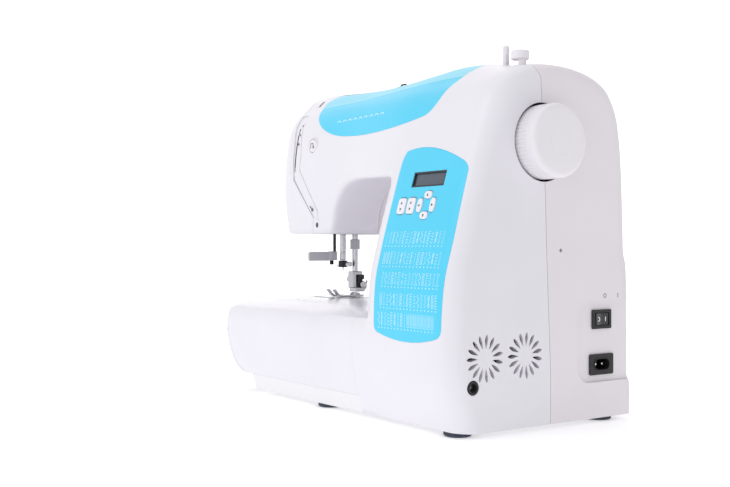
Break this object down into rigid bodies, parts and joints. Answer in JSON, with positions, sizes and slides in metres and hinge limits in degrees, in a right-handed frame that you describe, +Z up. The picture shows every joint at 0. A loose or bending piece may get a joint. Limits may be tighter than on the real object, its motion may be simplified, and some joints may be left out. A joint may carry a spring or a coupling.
{
  "type": "sewing machine",
  "caption": "Computerised domestic sewing machine: white casing, blue arm stripe and control panel, handwheel, presser foot and removable extension table.",
  "frame": {"origin": "centre of the bounding box's footprint, on the surface the feet stand on", "axes": "+X along the arm towards the handwheel, +Y towards the back, +Z up"},
  "size_m": [0.38, 0.1924, 0.3093],
  "materials": {
    "white_gloss": "gloss",
    "white_case": "satin",
    "bed_gloss": "gloss",
    "foot_rubber": "matt",
    "blue_trim": "gloss",
    "display": "gloss",
    "key_plastic": "satin",
    "white_knob": "gloss",
    "grey_plastic": "satin",
    "black_plastic": "matt",
    "black_gloss": "gloss",
    "belt_rubber": "matt",
    "steel": "satin",
    "plated_steel": "polished",
    "cast_frame": "cast",
    "board": "satin",
    "clear_cover": "gloss",
    "clear_bobbin": "gloss"
  },
  "bodies": {
    "frame_unit": {"front_cover": "white_gloss", "rear_cover": "white_case", "face_cover": "white_gloss", "base_pan": "white_case", "free_arm_cover": "bed_gloss", "foot_front_right": "foot_rubber", "foot_front_left": "foot_rubber", "foot_rear_right": "foot_rubber", "foot_rear_left": "foot_rubber", "needle_plate": "steel", "control_panel": "blue_trim", "display_window": "display", "arm_trim": "blue_trim", "drive_belt": "belt_rubber", "timing_belt": "belt_rubber", "main_motor": "steel", "arm_frame": "cast_frame", "main_board": "board", "spool_pin": "white_knob", "thread_guide": "steel", "bobbin_case": "black_plastic", "power_switch_housing": "black_plastic", "power_inlet": "black_plastic", "pedal_jack": "black_plastic", "winder_stop": "white_knob"},
    "wheel_unit": {"handwheel": "white_knob", "main_shaft": "steel", "drive_pulley": "black_plastic", "crank_disc": "steel", "timing_pulley": "steel"},
    "motor_rotor": {"motor_pulley": "black_plastic"},
    "lower_shaft_unit": {"lower_shaft": "steel"},
    "hook_unit": {"rotary_hook": "steel"},
    "bobbin_unit": {"bobbin": "clear_bobbin"},
    "needle_unit": {"needle_bar": "plated_steel", "needle_clamp": "plated_steel", "needle_clamp_screw": "plated_steel", "needle": "plated_steel"},
    "take_up_unit": {"take_up_lever": "plated_steel"},
    "feed_unit": {"feed_dog": "steel"},
    "lifter_unit": {"presser_lifter": "grey_plastic"},
    "presser_unit": {"presser_bar": "plated_steel", "foot_holder": "plated_steel", "foot_holder_screw": "plated_steel", "presser_foot": "plated_steel"},
    "threader_unit": {"needle_threader": "grey_plastic"},
    "tension_unit": {"tension_dial": "black_plastic"},
    "winder_unit": {"winder_spindle": "white_knob"},
    "cover_unit": {"bobbin_cover": "clear_cover"},
    "rocker_unit": {"power_rocker": "black_gloss"},
    "reverse_unit": {"reverse_button": "key_plastic"},
    "length_unit": {"length_button": "key_plastic"},
    "width_unit": {"width_button": "key_plastic"},
    "left_unit": {"key_left": "key_plastic"},
    "up_unit": {"key_up": "key_plastic"},
    "right_unit": {"key_right": "key_plastic"},
    "down_unit": {"key_down": "key_plastic"},
    "table_unit": {"extension_table": "bed_gloss"},
    "lid_unit": {"accessory_lid": "white_case"}
  },
  "joints": [
    {"name": "handwheel_turn", "type": "hinge", "parent": "frame_unit", "child": "wheel_unit", "pos_m": [0.177, -0.002, 0.2275], "axis": [1, 0, 0], "continuous": true},
    {"name": "motor_spin", "type": "hinge", "parent": "frame_unit", "child": "motor_rotor", "pos_m": [0.143, -0.042, 0.058], "axis": [1, 0, 0], "continuous": true},
    {"name": "lower_shaft_spin", "type": "hinge", "parent": "frame_unit", "child": "lower_shaft_unit", "pos_m": [0, -0.024, 0.038], "axis": [1, 0, 0], "continuous": true},
    {"name": "hook_spin", "type": "hinge", "parent": "frame_unit", "child": "hook_unit", "pos_m": [-0.108, -0.036, 0.06], "axis": [0, 0, 1], "continuous": true},
    {"name": "bobbin_spin", "type": "hinge", "parent": "frame_unit", "child": "bobbin_unit", "pos_m": [-0.108, -0.036, 0.072], "axis": [0, 0, 1], "continuous": true},
    {"name": "needle_stroke", "type": "slide", "parent": "frame_unit", "child": "needle_unit", "axis": [0, 0, -1], "range_m": [0, 0.021]},
    {"name": "take_up_swing", "type": "hinge", "parent": "frame_unit", "child": "take_up_unit", "pos_m": [-0.1306, -0.002, 0.2245], "axis": [1, 0, 0], "range_deg": [0, 28]},
    {"name": "feed_travel", "type": "slide", "parent": "frame_unit", "child": "feed_unit", "axis": [0, 1, 0], "range_m": [-0.002, 0.002]},
    {"name": "lifter_swing", "type": "hinge", "parent": "frame_unit", "child": "lifter_unit", "pos_m": [-0.082, 0.075, 0.182], "axis": [0, 1, 0], "range_deg": [-61, 0]},
    {"name": "presser_lift", "type": "slide", "parent": "frame_unit", "child": "presser_unit", "axis": [0, 0, 1], "range_m": [0, 0.006]},
    {"name": "threader_travel", "type": "slide", "parent": "frame_unit", "child": "threader_unit", "axis": [0, 0, -1], "range_m": [0, 0.018], "stiffness_N_per_m": 15, "springref_m": -0.006},
    {"name": "tension_turn", "type": "hinge", "parent": "frame_unit", "child": "tension_unit", "pos_m": [-0.1215, -0.0155, 0.28], "axis": [1, 0, 0], "range_deg": [-140, 140]},
    {"name": "winder_shift", "type": "slide", "parent": "frame_unit", "child": "winder_unit", "axis": [1, 0, 0], "range_m": [0, 0.006]},
    {"name": "cover_lift", "type": "slide", "parent": "frame_unit", "child": "cover_unit", "axis": [0, 0, 1], "range_m": [0, 0.016]},
    {"name": "rocker_tilt", "type": "hinge", "parent": "frame_unit", "child": "rocker_unit", "pos_m": [0.166, 0.0662, 0.085], "axis": [0, 0, 1], "range_deg": [-8, 0]},
    {"name": "reverse_press", "type": "slide", "parent": "frame_unit", "child": "reverse_unit", "axis": [0, 1, 0], "range_m": [0, 0.0015], "stiffness_N_per_m": 250},
    {"name": "length_press", "type": "slide", "parent": "frame_unit", "child": "length_unit", "axis": [0, 0.959, -0.2834], "range_m": [0, 0.0008], "stiffness_N_per_m": 300},
    {"name": "width_press", "type": "slide", "parent": "frame_unit", "child": "width_unit", "axis": [0, 0.959, -0.2834], "range_m": [0, 0.0008], "stiffness_N_per_m": 300},
    {"name": "left_press", "type": "slide", "parent": "frame_unit", "child": "left_unit", "axis": [0, 0.959, -0.2834], "range_m": [0, 0.0008], "stiffness_N_per_m": 300},
    {"name": "up_press", "type": "slide", "parent": "frame_unit", "child": "up_unit", "axis": [0, 0.959, -0.2834], "range_m": [0, 0.0008], "stiffness_N_per_m": 300},
    {"name": "right_press", "type": "slide", "parent": "frame_unit", "child": "right_unit", "axis": [0, 0.959, -0.2834], "range_m": [0, 0.0008], "stiffness_N_per_m": 300},
    {"name": "down_press", "type": "slide", "parent": "frame_unit", "child": "down_unit", "axis": [0, 0.959, -0.2834], "range_m": [0, 0.0008], "stiffness_N_per_m": 300},
    {"name": "table_pull", "type": "slide", "parent": "frame_unit", "child": "table_unit", "axis": [-1, 0, 0], "range_m": [0, 0.22]},
    {"name": "lid_swing", "type": "hinge", "parent": "table_unit", "child": "lid_unit", "pos_m": [-0.07, 0.096, 0.03], "axis": [1, 0, 0], "range_deg": [-90, 0]}
  ],
  "couplings": [
    {"joint": "motor_spin", "follows": "handwheel_turn", "ratio": 3.3333},
    {"joint": "lower_shaft_spin", "follows": "handwheel_turn", "ratio": 1},
    {"joint": "hook_spin", "follows": "handwheel_turn", "ratio": 2},
    {"joint": "lifter_swing", "follows": "presser_lift", "rad_per_m": -174.5}
  ]
}
